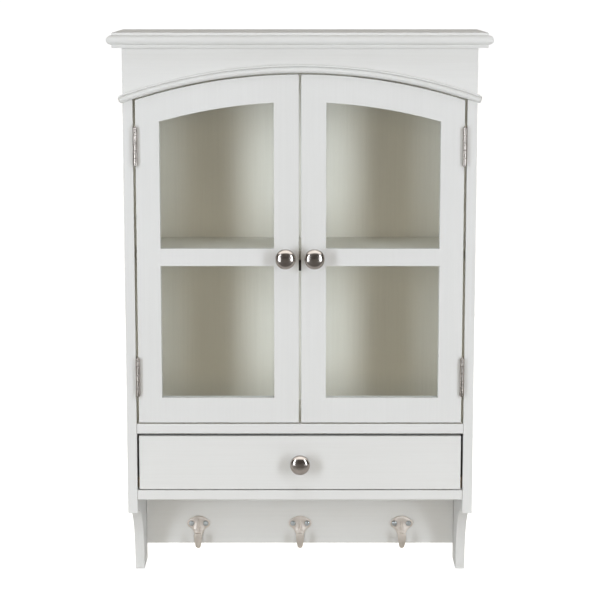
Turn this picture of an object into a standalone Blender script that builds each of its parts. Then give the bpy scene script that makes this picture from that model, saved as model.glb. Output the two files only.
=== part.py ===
"""Wall key cabinet with two arched glazed doors, a drawer and a rail of hooks.

Units are metres and +Z is up. The front faces -Y and the wall is the plane y = 0. The world origin is the
centre of the hanging rail's back face. Heights in this file count from the bottom of the feet: the empty
called cabinet, which holds every piece, carries them down to the world origin.
"""

import math

import bmesh
import bpy
from mathutils import Vector
from mathutils.geometry import interpolate_bezier

# Carcass
GAP = 0.0003
BOARD = 0.013
HALF_WIDTH = 0.231
DEPTH = 0.160
SIDE_TOP = 0.730
ORIGIN_HEIGHT = 0.705
INNER_HALF = HALF_WIDTH - BOARD - GAP
FRONT = -DEPTH
CUT_PAST = 0.001

# Side panels
FOOT_RADIUS = 0.100
FOOT_LEDGE = 0.005
FOOT_CUT_TOP = 0.109

# Cornice: each step is (height, overhang past the carcass), from the bottom up
TOP_BOTTOM = SIDE_TOP + GAP
TOP_HEIGHT = 0.750
FILLET_OVERHANG = 0.012
ROUND_OVERHANG = 0.0185
ROUND_LOW = 0.7345
ROUND_HIGH = 0.7465

# Arch: the doors, the frieze and its bead share one centre
ARCH_CENTRE = -0.014
DOOR_ARCH = 0.710
FRIEZE_ARCH = 0.712
WINDOW_ARCH = 0.674
FRIEZE_THICK = 0.012
BEAD_ROUND = 0.008
BEAD_HEIGHT = 0.0105
BEAD_PROUD = 0.0077
BEAD_END = 0.2355
SIDE_BEAD_PROUD = 0.0047
SIDE_BEAD_LOW = 0.6585

# Horizontal boards, as (bottom, top)
BOTTOM_BOARD = (0.128, 0.141)
CABINET_FLOOR = (0.2188, 0.232)
SHELF = (0.450, 0.463)
SHELF_FRONT = -0.141
HANGING_RAIL = (0.680, 0.7297)
HOOK_RAIL = (0.0255, 0.1277)
BACK_THICK = 0.004

# Hanger plates let into the hanging rail
HANGER_X = 0.170
HANGER_SIZE = (0.050, 0.018)
HANGER_THICK = 0.0015
HANGER_POCKET = (0.026, 0.012, 0.007)
KEYHOLE_HEAD = 0.0045
KEYHOLE_NECK = 0.0022
KEYHOLE_DROP = 0.004

# Doors
DOOR_THICK = 0.014
DOOR_INNER = 0.0016
DOOR_OUTER = 0.2147
DOOR_BOTTOM = 0.2339
DOOR_BACK = FRONT + DOOR_THICK
WINDOW_INNER = 0.0343
WINDOW_OUTER = 0.1836
UPPER_WINDOW_BOTTOM = 0.4678
LOWER_WINDOW = (0.2676, 0.4447)
REBATE = 0.006
REBATE_DEPTH = 0.006
GLASS_THICK = 0.003

# Knobs and their screws
DOOR_KNOB = (0.019, 0.4563)
DRAWER_KNOB_HEIGHT = 0.180
KNOB_BORE = 0.0023
KNOB_BORE_DEPTH = 0.012
SCREW_RADIUS = 0.002
SCREW_HEAD = (0.004, 0.0025)
SCREW_REACH = 0.008

# Magnetic catch and the strike plates on the doors
CATCH_HALF = 0.020
CATCH_DEPTH = 0.0164
CATCH_BOTTOM = 0.436
STRIKE_X = (0.004, 0.020)
STRIKE_Z = (0.437, 0.449)
STRIKE_THICK = 0.001

# Butt hinges: the axis stands proud of the front so that a door can swing clear
HINGE_X = 0.2149
HINGE_Y = -0.1634
HINGE_HEIGHTS = {"upper": 0.6025, "lower": 0.296}
HINGE_LENGTH = 0.050
KNUCKLES = 5
KNUCKLE_RADIUS = 0.003
LEAF_THICK = 0.0009
FRAME_LEAF_OFFSET = 0.0019
DOOR_LEAF_OFFSET = 0.0001
LEAF_FRONT = 0.0034
LEAF_BACK = 0.0174
PIN_RADIUS = 0.001
PIN_BORE = 0.0013
FINIAL_RADIUS = 0.0022
FINIAL_HEIGHT = 0.0032

# Drawer
DRAWER_HALF = 0.215
DRAWER_FRONT = (0.1426, 0.2153)
DRAWER_FRONT_THICK = 0.013
DRAWER_BOX_HALF = 0.2065
DRAWER_SIDE_THICK = 0.010
DRAWER_BOX = (0.1414, 0.205)
DRAWER_BOX_BACK = -0.018
DRAWER_BOTTOM = (0.146, 0.150)
GROOVE_DEPTH = 0.004
GUIDE_INNER = 0.2075
GUIDE_TOP = 0.155

# Hooks
HOOK_SPACING = 0.144
HOOK_SCREW_HEIGHT = 0.055
HOOK_SCREW_X = 0.0100
HOOK_PLATE = 0.0025
HOOK_LOBE = 0.0062
HOOK_TOP = 0.0105
HOOK_NECK = (0.0072, -0.0120)
HOOK_FOOT = (0.0052, -0.0170)
HOOK_HOLE = 0.0018
WOOD_SCREW_RADIUS = 0.0015
WOOD_SCREW_HEAD = (0.0035, 0.0018)
WOOD_SCREW_REACH = 0.010
PRONG_THICK = 0.0036

# Facets
ARCH_STEPS = 14
KNOB_STEPS = 20
SMALL_STEPS = 10

# Finishes: colour, roughness, metallic
FINISHES = {
    "paint": ((0.73, 0.74, 0.73), 0.42, 0.0),
    "wood": ((0.66, 0.55, 0.40), 0.60, 0.0),
    "hardboard": ((0.60, 0.57, 0.50), 0.62, 0.0),
    "nickel": ((0.42, 0.38, 0.33), 0.28, 1.0),
    "zinc": ((0.50, 0.46, 0.40), 0.38, 1.0),
    "steel": ((0.62, 0.62, 0.60), 0.32, 1.0),
    "plastic": ((0.06, 0.05, 0.045), 0.45, 0.0),
    "glass": ((0.90, 0.94, 0.92), 0.03, 0.0),
}

PLANES = {
    "XZ": lambda a, b, c: (a, c, b),
    "YZ": lambda a, b, c: (c, a, b),
}
FACING_FRONT = (math.pi / 2, 0, 0)
SIDES = {"left": -1, "right": 1}


def clear_scene():
    for old in list(bpy.data.objects):
        bpy.data.objects.remove(old, do_unlink=True)


def empty(name, at, parent=None):
    """A named frame: a fixed group, or a moving group with its origin on its joint."""
    made = bpy.data.objects.new(name, None)
    made.empty_display_size = 0.02
    made.parent = parent
    made.location = at
    bpy.context.scene.collection.objects.link(made)
    return made


def coloured(name, finish):
    colour, roughness, metallic = FINISHES[finish]
    made = bpy.data.materials.new(f"{name}_{finish}")
    made.use_nodes = True
    shader = made.node_tree.nodes["Principled BSDF"]
    shader.inputs["Base Color"].default_value = (*colour, 1.0)
    shader.inputs["Roughness"].default_value = roughness
    shader.inputs["Metallic"].default_value = metallic
    return made


def placed(name, mesh, group, at, turn=(0, 0, 0)):
    """An object in a group, at a place given in the cabinet's own coordinates."""
    made = bpy.data.objects.new(name, mesh)
    made.parent = group
    offset = group.location if group.parent else Vector()
    made.location = Vector(at) - offset
    made.rotation_euler = turn
    bpy.context.scene.collection.objects.link(made)
    return made


def mesh_of(name, shape):
    bmesh.ops.recalc_face_normals(shape, faces=shape.faces)
    mesh = bpy.data.meshes.new(name)
    shape.to_mesh(mesh)
    shape.free()
    return mesh


def piece(name, shape, finish, group, at=(0, 0, 0), turn=(0, 0, 0), smooth=False):
    """A sub-part: its own solid, its own finish."""
    mesh = mesh_of(name, shape) if isinstance(shape, bmesh.types.BMesh) else shape.copy()
    mesh.materials.clear()
    mesh.materials.append(coloured(name, finish))
    if smooth:
        mesh.shade_smooth()
        mesh.set_sharp_from_angle(angle=math.radians(35))
    return placed(name, mesh, group, at, turn)


def combine(target, shape, operation, at=(0, 0, 0), turn=(0, 0, 0)):
    """A hidden helper solid joined to, or cut from, a sub-part in the same group."""
    number = len(target.modifiers) + 1
    helper = placed(f"{target.name}_helper_{number}", mesh_of("helper", shape), target.parent, at, turn)
    helper.hide_render = True
    helper.display_type = "WIRE"
    step = target.modifiers.new(f"{operation.lower()}_{number}", "BOOLEAN")
    step.operation = operation
    step.object = helper


def box(low, high):
    shape = bmesh.new()
    bmesh.ops.create_cube(shape, size=1.0)
    size = Vector(high) - Vector(low)
    middle = (Vector(high) + Vector(low)) / 2
    bmesh.ops.scale(shape, vec=size, verts=shape.verts)
    bmesh.ops.translate(shape, vec=middle, verts=shape.verts)
    return shape


def board(name, low, high, finish, group):
    """A rectangular board between two corners, with its origin at its middle."""
    middle = (Vector(high) + Vector(low)) / 2
    return piece(name, box(Vector(low) - middle, Vector(high) - middle), finish, group, middle)


def prism(outline, near, far, plane):
    """An outline pushed through the third axis, from near to far."""
    point = PLANES[plane]
    shape = bmesh.new()
    ends = [[shape.verts.new(point(a, b, c)) for a, b in outline] for c in (near, far)]
    for end in ends:
        shape.faces.new(end)
    for i in range(len(outline)):
        shape.faces.new((ends[0][i - 1], ends[0][i], ends[1][i], ends[1][i - 1]))
    return shape


def loft(rings):
    """A closed skin through rings of equal count. A ring of one point is a tip, others are capped."""
    shape = bmesh.new()
    made = [[shape.verts.new(point) for point in ring] for ring in rings]
    for low, high in zip(made, made[1:]):
        count = max(len(low), len(high))
        for i in range(count):
            corners = [low[(i - 1) % len(low)], low[i % len(low)]]
            corners += [high[i % len(high)], high[(i - 1) % len(high)]]
            shape.faces.new(list(dict.fromkeys(corners)))
    for end in (made[0], made[-1]):
        if len(end) > 1:
            shape.faces.new(end)
    return shape


def turned(profile, steps):
    """A profile of (radius, height) turned about Z. A radius of zero is a tip on the axis."""
    rings = []
    for radius, height in profile:
        if radius == 0:
            rings.append([(0, 0, height)])
            continue
        angles = [2 * math.pi * i / steps for i in range(steps)]
        rings.append([(radius * math.cos(a), radius * math.sin(a), height) for a in angles])
    return loft(rings)


def rod(radius, low, high, steps=SMALL_STEPS):
    return turned([(radius, low), (radius, high)], steps)


def arc(centre, radius, start, end, steps):
    """Points of a circle, from one angle in degrees to another."""
    angles = [math.radians(start + (end - start) * i / steps) for i in range(steps + 1)]
    return [(centre[0] + radius * math.cos(a), centre[1] + radius * math.sin(a)) for a in angles]


def arch_height(x, radius):
    return ARCH_CENTRE + math.sqrt(radius ** 2 - x ** 2)


def arched(side, inner, outer, low, radius):
    """The outline of half an arch: upright sides, a level foot and a curved head."""
    xs = [outer + (inner - outer) * i / ARCH_STEPS for i in range(ARCH_STEPS + 1)]
    head = [(x, arch_height(x, radius)) for x in xs]
    return [(side * x, z) for x, z in [(inner, low), (outer, low)] + head]


def bead_profile(proud, steps=6):
    """Half of a round bead with a thin fillet above it, as (height, projection)."""
    base = 0.0012
    half = BEAD_ROUND / 2
    turns = [math.pi * i / steps for i in range(steps + 1)]
    round_part = [(half - half * math.cos(t), base + (proud - base) * math.sin(t)) for t in turns]
    fillet = [(BEAD_ROUND, 0.0024), (BEAD_HEIGHT, 0.0024), (BEAD_HEIGHT, 0.0)]
    return [(0.0, 0.0)] + round_part + fillet


def side_panel(side, group):
    foot = arc((FRONT + FOOT_LEDGE, FOOT_CUT_TOP - FOOT_RADIUS), FOOT_RADIUS, 90, 0, 12)
    notch_back = FRONT + FRIEZE_THICK + GAP
    notch_low = arch_height(INNER_HALF, FRIEZE_ARCH) - GAP
    outline = [(FRONT, FOOT_CUT_TOP)] + foot + [(FRONT + FOOT_LEDGE + FOOT_RADIUS, 0), (0, 0)]
    outline += [(0, SIDE_TOP), (notch_back, SIDE_TOP), (notch_back, notch_low), (FRONT, notch_low)]
    shape = prism(outline, -BOARD / 2, BOARD / 2, "YZ")
    x = SIDES[side] * (HALF_WIDTH - BOARD / 2)
    piece(f"side_panel_{side}", shape, "paint", group, (x, 0, 0))


def cornice(group):
    """The top board: a square fillet, a half-round nose and another fillet, on the front and both sides."""
    middle = (ROUND_LOW + ROUND_HIGH) / 2
    radius = (ROUND_HIGH - ROUND_LOW) / 2
    nose = arc((0, middle), radius, -90, 90, 8)
    swell = (ROUND_OVERHANG - FILLET_OVERHANG) / radius
    steps = [(TOP_BOTTOM, FILLET_OVERHANG), (ROUND_LOW, FILLET_OVERHANG)]
    steps += [(z, FILLET_OVERHANG + swell * out) for out, z in nose[1:-1]]
    steps += [(ROUND_HIGH, FILLET_OVERHANG), (TOP_HEIGHT, FILLET_OVERHANG)]
    rings = []
    for z, out in steps:
        x, y = HALF_WIDTH + out, FRONT - out
        rings.append([(-x, 0, z), (-x, y, z), (x, y, z), (x, 0, z)])
    piece("top_board", loft(rings), "paint", group)


def frieze(group):
    xs = [INNER_HALF * (1 - i / ARCH_STEPS) for i in range(2 * ARCH_STEPS + 1)]
    low = arch_height(INNER_HALF, FRIEZE_ARCH)
    outline = [(-HALF_WIDTH, SIDE_TOP), (HALF_WIDTH, SIDE_TOP), (HALF_WIDTH, low)]
    outline += [(x, arch_height(x, FRIEZE_ARCH)) for x in xs] + [(-HALF_WIDTH, low)]
    piece("frieze_board", prism(outline, FRONT, FRONT + FRIEZE_THICK, "XZ"), "paint", group)


def arch_bead(group):
    """The bead follows the frieze's lower edge and ends in a rounded nose past each side."""
    profile = bead_profile(BEAD_PROUD)
    reach = math.asin(BEAD_END / (FRIEZE_ARCH + BEAD_HEIGHT / 2))
    steps = 2 * ARCH_STEPS
    stations = [(reach * 0.994 * (2 * i / steps - 1), 1.0) for i in range(steps + 1)]
    noses = [(0.9985, 0.82), (1.0, 0.5)]
    stations = [(-reach * at, size) for at, size in reversed(noses)] + stations
    stations += [(reach * at, size) for at, size in noses]
    rings = []
    for angle, size in stations:
        ring = []
        for height, out in profile:
            radius = FRIEZE_ARCH + BEAD_HEIGHT / 2 + (height - BEAD_HEIGHT / 2) * size
            x, z = radius * math.sin(angle), ARCH_CENTRE + radius * math.cos(angle)
            ring.append((x, FRONT - GAP - out * size, z))
        rings.append(ring)
    piece("arch_moulding", loft(rings), "paint", group, smooth=True)


def side_bead(side, group):
    sign = SIDES[side]
    profile = [(sign * out, z) for z, out in bead_profile(SIDE_BEAD_PROUD)]
    rings = [[(x, y, z) for x, z in profile] for y in (FRONT, 0)]
    at = (sign * (HALF_WIDTH + GAP), 0, SIDE_BEAD_LOW)
    piece(f"side_moulding_{side}", loft(rings), "paint", group, at, smooth=True)


def keyhole(at_x, at_z, near, far):
    """A keyhole: a round mouth with a narrower slot rising from it."""
    mouth = arc((at_x, at_z), KEYHOLE_HEAD, 120, 420, 12)
    neck = arc((at_x, at_z + KEYHOLE_HEAD + KEYHOLE_DROP), KEYHOLE_NECK, 0, 180, 6)
    return prism(mouth + neck, near, far, "XZ")


def hanger(side, rail, group):
    """A keyhole plate let into the back of the hanging rail, over a pocket for the screw head."""
    x, z = SIDES[side] * HANGER_X, ORIGIN_HEIGHT
    half_w, half_h = HANGER_SIZE[0] / 2, HANGER_SIZE[1] / 2
    back = -GAP
    front = back - HANGER_THICK
    low = (x - half_w - GAP, front - GAP, z - half_h - GAP)
    seat = box(low, (x + half_w + GAP, CUT_PAST, z + half_h + GAP))
    combine(rail, seat, "DIFFERENCE")
    wide, tall, deep = HANGER_POCKET
    pocket = box((x - wide / 2, -deep, z - tall / 2), (x + wide / 2, 0, z + tall / 2))
    combine(rail, pocket, "DIFFERENCE")
    low, high = (x - half_w, front, z - half_h), (x + half_w, back, z + half_h)
    plate = board(f"hanger_plate_{side}", low, high, "steel", group)
    combine(plate, keyhole(x, z - KEYHOLE_DROP / 2, front - CUT_PAST, back + CUT_PAST), "DIFFERENCE")


def wide_board(name, heights, front, back, group, finish="paint"):
    """A board that fills the width between the side panels."""
    return board(name, (-INNER_HALF, front, heights[0]), (INNER_HALF, back, heights[1]), finish, group)


def carcass(group):
    for side in SIDES:
        side_panel(side, group)
        side_bead(side, group)
    cornice(group)
    frieze(group)
    arch_bead(group)
    behind_back = -BACK_THICK - 2 * GAP
    wide_board("bottom_board", BOTTOM_BOARD, FRONT, 0, group)
    wide_board("cabinet_floor", CABINET_FLOOR, FRONT, behind_back, group)
    wide_board("shelf", SHELF, SHELF_FRONT, behind_back, group)
    panel = (BOTTOM_BOARD[1] + GAP, HANGING_RAIL[0] - GAP)
    wide_board("back_panel", panel, -BACK_THICK - GAP, -GAP, group, "hardboard")
    rail = wide_board("hanging_rail", HANGING_RAIL, -BOARD, 0, group)
    for side in SIDES:
        hanger(side, rail, group)
    for side, sign in SIDES.items():
        ends = sorted((sign * GUIDE_INNER, sign * INNER_HALF))
        low = (ends[0], FRONT + DRAWER_FRONT_THICK + CUT_PAST, BOTTOM_BOARD[1] + GAP)
        board(f"drawer_guide_{side}", low, (ends[1], DRAWER_BOX_BACK, GUIDE_TOP), "wood", group)
    catch_front = DOOR_BACK + STRIKE_THICK + 2 * GAP
    low = (-CATCH_HALF, catch_front, CATCH_BOTTOM)
    high = (CATCH_HALF, catch_front + CATCH_DEPTH, SHELF[0] - GAP)
    board("magnetic_catch", low, high, "plastic", group)


def screw(name, radius, head, reach, group, at, turn):
    """A screw with a domed head above z = 0 and a pointed shank below it."""
    head_radius, head_height = head
    profile = [(0, -reach), (radius, radius - reach), (radius, 0)]
    profile += [(head_radius, 0), (head_radius * 0.86, head_height * 0.65), (0, head_height)]
    piece(name, turned(profile, SMALL_STEPS), "steel", group, at, turn, smooth=True)


def knob(name, group, at):
    """A mushroom knob on a round foot, bored from behind for its screw. Its axis is local Z."""
    bore = [(0, KNOB_BORE_DEPTH), (KNOB_BORE, KNOB_BORE_DEPTH), (KNOB_BORE, 0)]
    foot = [(0.0062, 0), (0.0062, 0.0016), (0.0048, 0.0030)]
    stem = [(0.0040, 0.0065), (0.0043, 0.0098), (0.0070, 0.0128), (0.0113, 0.0145)]
    head = [(0.0132, 0.0163), (0.0135, 0.0182), (0.0126, 0.0208), (0.0098, 0.0232)]
    head += [(0.0055, 0.0246), (0, 0.0250)]
    piece(name, turned(bore + foot + stem + head, KNOB_STEPS), "nickel", group, at, FACING_FRONT, smooth=True)


def knob_with_screw(prefix, panel, thick, group, x, z):
    """A knob on the front of a panel and the machine screw that holds it from behind."""
    knob(f"{prefix}_knob", group, (x, FRONT - GAP, z))
    combine(panel, rod(KNOB_BORE, -thick, thick), "DIFFERENCE", (x, FRONT + thick / 2, z), FACING_FRONT)
    at = (x, FRONT + thick + GAP, z)
    facing_back = (-math.pi / 2, 0, 0)
    reach = thick + GAP + SCREW_REACH
    screw(f"{prefix}_knob_screw", SCREW_RADIUS, SCREW_HEAD, reach, group, at, facing_back)


def frozen(template):
    """The finished mesh of a template object, which goes away with its helpers."""
    graph = bpy.context.evaluated_depsgraph_get()
    mesh = bpy.data.meshes.new_from_object(template.evaluated_get(graph))
    for used in [step.object for step in template.modifiers] + [template]:
        bpy.data.objects.remove(used, do_unlink=True)
    return mesh


def hinge_leaf(offset, turns, group):
    """One leaf about the pin's axis: a plate behind the barrel and its own knuckles, bored for the pin.

    The offset is from the axis to the plate, towards the side panel of a left-hand hinge.
    """
    pitch = HINGE_LENGTH / KNUCKLES
    near, far = -offset - LEAF_THICK, -offset
    half = HINGE_LENGTH / 2
    plate = box((near, LEAF_FRONT, -half), (far, LEAF_BACK, half))
    leaf = placed("leaf_template", mesh_of("leaf_template", plate), group, (0, 0, 0))
    for turn in turns:
        low = turn * pitch - half + GAP / 2
        high = low + pitch - GAP
        combine(leaf, box((near, 0, low), (far, LEAF_FRONT + CUT_PAST, high)), "UNION")
        combine(leaf, rod(KNUCKLE_RADIUS, low, high, 14), "UNION")
    combine(leaf, rod(PIN_BORE, -half - CUT_PAST, half + CUT_PAST, 12), "DIFFERENCE")
    return frozen(leaf)


def hinge_pin(name, group, at):
    """A pin with a small turned finial at each end."""
    neck = HINGE_LENGTH / 2 + GAP
    finial = [(PIN_RADIUS, neck), (0.0017, neck), (FINIAL_RADIUS, neck + 0.0013), (0, neck + FINIAL_HEIGHT)]
    profile = [(radius, -height) for radius, height in reversed(finial)] + finial
    piece(name, turned(profile, SMALL_STEPS), "nickel", group, at, smooth=True)


def hinges(cabinet, doors):
    """The right-hand hinges are the left-hand ones turned over about Y."""
    frame_leaf = hinge_leaf(FRAME_LEAF_OFFSET, range(0, KNUCKLES, 2), cabinet)
    door_leaf = hinge_leaf(DOOR_LEAF_OFFSET, range(1, KNUCKLES, 2), cabinet)
    for side, sign in SIDES.items():
        turn = (0, math.pi if sign > 0 else 0, 0)
        for level, height in HINGE_HEIGHTS.items():
            at = (sign * HINGE_X, HINGE_Y, height)
            stem = f"{side}_{level}_hinge"
            piece(f"{stem}_frame_leaf", frame_leaf, "nickel", cabinet, at, turn, smooth=True)
            piece(f"{stem}_door_leaf", door_leaf, "nickel", doors[side], at, turn, smooth=True)
            hinge_pin(f"{stem}_pin", cabinet, at)


def door(side, group):
    """A board door with two window openings, one pane set in a rebate from behind, and a glazing bead."""
    sign = SIDES[side]
    outline = arched(sign, DOOR_INNER, DOOR_OUTER, DOOR_BOTTOM, DOOR_ARCH)
    shape = prism(outline, FRONT, DOOR_BACK, "XZ")
    origin = Vector((sign * HINGE_X, HINGE_Y, 0))
    bmesh.ops.translate(shape, vec=-origin, verts=shape.verts)
    frame = piece(f"{side}_door_frame", shape, "paint", group, origin)
    through = (FRONT - CUT_PAST, DOOR_BACK + CUT_PAST)
    upper = arched(sign, WINDOW_INNER, WINDOW_OUTER, UPPER_WINDOW_BOTTOM, WINDOW_ARCH)
    combine(frame, prism(upper, *through, "XZ"), "DIFFERENCE")
    ends = sorted((sign * WINDOW_INNER, sign * WINDOW_OUTER))
    low = (ends[0], through[0], LOWER_WINDOW[0])
    combine(frame, box(low, (ends[1], through[1], LOWER_WINDOW[1])), "DIFFERENCE")
    rebate_front = DOOR_BACK - REBATE_DEPTH
    combine(frame, prism(pane_outline(sign, 0), rebate_front, through[1], "XZ"), "DIFFERENCE")
    glass_front = rebate_front + GAP
    glass_back = glass_front + GLASS_THICK
    outer = pane_outline(sign, GAP)
    piece(f"{side}_door_glass", prism(outer, glass_front, glass_back, "XZ"), "glass", group)
    inner = arched(sign, WINDOW_INNER, WINDOW_OUTER, LOWER_WINDOW[0], WINDOW_ARCH)
    bead = ring_prism(outer, inner, glass_back + GAP, DOOR_BACK)
    piece(f"{side}_door_glazing_bead", bead, "paint", group)
    knob_with_screw(f"{side}_door", frame, DOOR_THICK, group, sign * DOOR_KNOB[0], DOOR_KNOB[1])
    xs = sorted((sign * STRIKE_X[0], sign * STRIKE_X[1]))
    low = (xs[0], DOOR_BACK + GAP, STRIKE_Z[0])
    high = (xs[1], DOOR_BACK + GAP + STRIKE_THICK, STRIKE_Z[1])
    board(f"{side}_door_strike_plate", low, high, "steel", group)


def pane_outline(sign, clearance):
    """The rebate's outline, made smaller all round by a clearance."""
    edge = REBATE - clearance
    inner, outer = WINDOW_INNER - edge, WINDOW_OUTER + edge
    return arched(sign, inner, outer, LOWER_WINDOW[0] - edge, WINDOW_ARCH + edge)


def ring_prism(outer, inner, near, far):
    """A flat ring between two outlines of equal count in the XZ plane."""
    shape = bmesh.new()
    loops = []
    for outline, y in ((outer, near), (outer, far), (inner, far), (inner, near)):
        loops.append([shape.verts.new((x, y, z)) for x, z in outline])
    for first, second in zip(loops, loops[1:] + loops[:1]):
        for i in range(len(outer)):
            shape.faces.new((first[i - 1], first[i], second[i], second[i - 1]))
    return shape


def drawer(group):
    front_back = FRONT + DRAWER_FRONT_THICK
    low = (-DRAWER_HALF, FRONT, DRAWER_FRONT[0])
    front = board("drawer_front", low, (DRAWER_HALF, front_back, DRAWER_FRONT[1]), "paint", group)
    inner = DRAWER_BOX_HALF - DRAWER_SIDE_THICK
    groove_z = (DRAWER_BOTTOM[0] - GAP, DRAWER_BOTTOM[1] + GAP)
    half = inner + GROOVE_DEPTH
    groove = box((-half, front_back - GROOVE_DEPTH, groove_z[0]), (half, front_back + CUT_PAST, groove_z[1]))
    combine(front, groove, "DIFFERENCE")
    side_front = front_back + GAP
    for side, sign in SIDES.items():
        xs = sorted((sign * inner, sign * DRAWER_BOX_HALF))
        low = (xs[0], side_front, DRAWER_BOX[0])
        wall = board(f"drawer_side_{side}", low, (xs[1], DRAWER_BOX_BACK, DRAWER_BOX[1]), "wood", group)
        xs = sorted((sign * (inner - CUT_PAST), sign * half))
        low = (xs[0], side_front - CUT_PAST, groove_z[0])
        combine(wall, box(low, (xs[1], DRAWER_BOX_BACK + CUT_PAST, groove_z[1])), "DIFFERENCE")
    back_half = inner - GAP
    low = (-back_half, DRAWER_BOX_BACK - DRAWER_SIDE_THICK, groove_z[1])
    board("drawer_back", low, (back_half, DRAWER_BOX_BACK, DRAWER_BOX[1]), "wood", group)
    half -= GAP
    low = (-half, front_back - GROOVE_DEPTH + GAP, DRAWER_BOTTOM[0])
    board("drawer_bottom", low, (half, DRAWER_BOX_BACK, DRAWER_BOTTOM[1]), "hardboard", group)
    knob_with_screw("drawer", front, DRAWER_FRONT_THICK, group, 0, DRAWER_KNOB_HEIGHT)


def hook_plate():
    """The hook's back plate: a curved head, a round lobe at each screw and a neck."""
    lobe = arc((HOOK_SCREW_X, 0), HOOK_LOBE, 48, -68, 6)
    corner = lobe[0]
    rise = HOOK_TOP - corner[1]
    head = [(x, HOOK_TOP - rise * (x / corner[0]) ** 2) for x in (0, corner[0] * 0.35, corner[0] * 0.7)]
    right = head + lobe + [HOOK_NECK, HOOK_FOOT]
    left = [(-x, z) for x, z in reversed(right[1:])]
    return prism(right + left, -HOOK_PLATE, 0, "XZ")


def prong():
    """The hook's tongue: it leaves the neck, turns up in a J and widens into a rounded tip."""
    down = ((-0.0021, -0.0080), (-0.0023, -0.0210), (-0.0050, -0.0315), (-0.0120, -0.0315))
    up = ((-0.0120, -0.0315), (-0.0195, -0.0315), (-0.0225, -0.0220), (-0.0235, -0.0090))
    path = []
    for start, first, second, end in (down, up):
        points = [Vector((0, y, z)) for y, z in (start, first, second, end)]
        curve = interpolate_bezier(*points, 8)
        path += curve[1:] if path else curve
    last = len(path) - 1
    rings = []
    for i, point in enumerate(path):
        along = (path[min(i + 1, last)] - path[max(i - 1, 0)]).normalized()
        across = Vector((0, -along.z, along.y))
        t = i / last
        width = 0.0126 - 0.0066 * math.sin(math.pi * min(t / 0.62, 1) / 2) + 0.0062 * max(t - 0.55, 0) / 0.45
        closing = 0.55 if i == last else 1.0
        ring = []
        for k in range(8):
            a = 2 * math.pi * (k + 0.5) / 8
            side = Vector((width / 2 * math.cos(a), 0, 0))
            ring.append(point + closing * (side + across * PRONG_THICK / 2 * math.sin(a)))
        rings.append(ring)
    return loft(rings)


def hooks(group):
    """Three hooks on the lower rail, each held by two wood screws."""
    rail = wide_board("hook_rail", HOOK_RAIL, -BOARD, 0, group)
    face = -BOARD - GAP
    places = {"hook_left": -HOOK_SPACING, "hook_centre": 0.0, "hook_right": HOOK_SPACING}
    for name, x in places.items():
        at = (x, face, HOOK_SCREW_HEIGHT)
        hook = piece(name, hook_plate(), "zinc", group, at, smooth=True)
        combine(hook, prong(), "UNION", at)
        for side, sign in SIDES.items():
            hole = (x + sign * HOOK_SCREW_X, face - HOOK_PLATE / 2, HOOK_SCREW_HEIGHT)
            combine(hook, rod(HOOK_HOLE, -HOOK_PLATE, HOOK_PLATE), "DIFFERENCE", hole, FACING_FRONT)
            pilot = (hole[0], -BOARD, HOOK_SCREW_HEIGHT)
            depth = WOOD_SCREW_REACH + GAP
            combine(rail, rod(HOOK_HOLE, -depth, CUT_PAST, 8), "DIFFERENCE", pilot, FACING_FRONT)
            seat = (hole[0], face - HOOK_PLATE - GAP, HOOK_SCREW_HEIGHT)
            reach = HOOK_PLATE + 2 * GAP + WOOD_SCREW_REACH
            title = f"{name}_screw_{side}"
            screw(title, WOOD_SCREW_RADIUS, WOOD_SCREW_HEAD, reach, group, seat, FACING_FRONT)


def main():
    clear_scene()
    cabinet = empty("cabinet", (0, 0, -ORIGIN_HEIGHT))
    doors = {}
    for side, sign in SIDES.items():
        doors[side] = empty(f"{side}_door", (sign * HINGE_X, HINGE_Y, 0), cabinet)
    drawer_group = empty("drawer", (0, FRONT, DRAWER_KNOB_HEIGHT), cabinet)
    bpy.context.view_layer.update()
    carcass(cabinet)
    hooks(cabinet)
    for side, group in doors.items():
        door(side, group)
    hinges(cabinet, doors)
    drawer(drawer_group)


main()
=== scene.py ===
"""Looks of the wall key cabinet: finer shapes, finishes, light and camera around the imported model.

Everything is in metres in the model's own frame: +Z up, the front facing -Y, the wall at y = 0.
"""

import math

import bmesh
import bpy
from mathutils import Matrix, Vector
from mathutils.geometry import interpolate_bezier


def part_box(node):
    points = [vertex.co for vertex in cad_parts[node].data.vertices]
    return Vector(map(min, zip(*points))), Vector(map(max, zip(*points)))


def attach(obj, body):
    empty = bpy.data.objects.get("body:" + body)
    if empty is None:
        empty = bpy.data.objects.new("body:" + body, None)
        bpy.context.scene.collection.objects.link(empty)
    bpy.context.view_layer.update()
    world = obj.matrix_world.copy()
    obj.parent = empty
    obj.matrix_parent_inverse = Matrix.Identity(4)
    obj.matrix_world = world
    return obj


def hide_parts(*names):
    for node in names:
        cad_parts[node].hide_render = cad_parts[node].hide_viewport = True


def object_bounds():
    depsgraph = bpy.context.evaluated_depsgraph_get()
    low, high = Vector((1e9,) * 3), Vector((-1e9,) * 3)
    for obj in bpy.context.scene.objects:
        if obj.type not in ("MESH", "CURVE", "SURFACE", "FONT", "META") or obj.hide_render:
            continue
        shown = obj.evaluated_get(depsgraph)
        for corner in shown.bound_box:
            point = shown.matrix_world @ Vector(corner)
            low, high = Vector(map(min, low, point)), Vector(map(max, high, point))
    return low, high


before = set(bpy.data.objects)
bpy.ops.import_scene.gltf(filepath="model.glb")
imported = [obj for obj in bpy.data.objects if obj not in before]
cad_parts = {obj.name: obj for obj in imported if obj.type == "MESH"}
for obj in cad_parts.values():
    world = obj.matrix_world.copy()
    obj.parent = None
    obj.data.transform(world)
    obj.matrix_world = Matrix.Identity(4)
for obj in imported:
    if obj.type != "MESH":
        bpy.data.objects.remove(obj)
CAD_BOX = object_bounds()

SIDES = {"left": -1, "right": 1}
LEVELS = ("upper", "lower")
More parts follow.
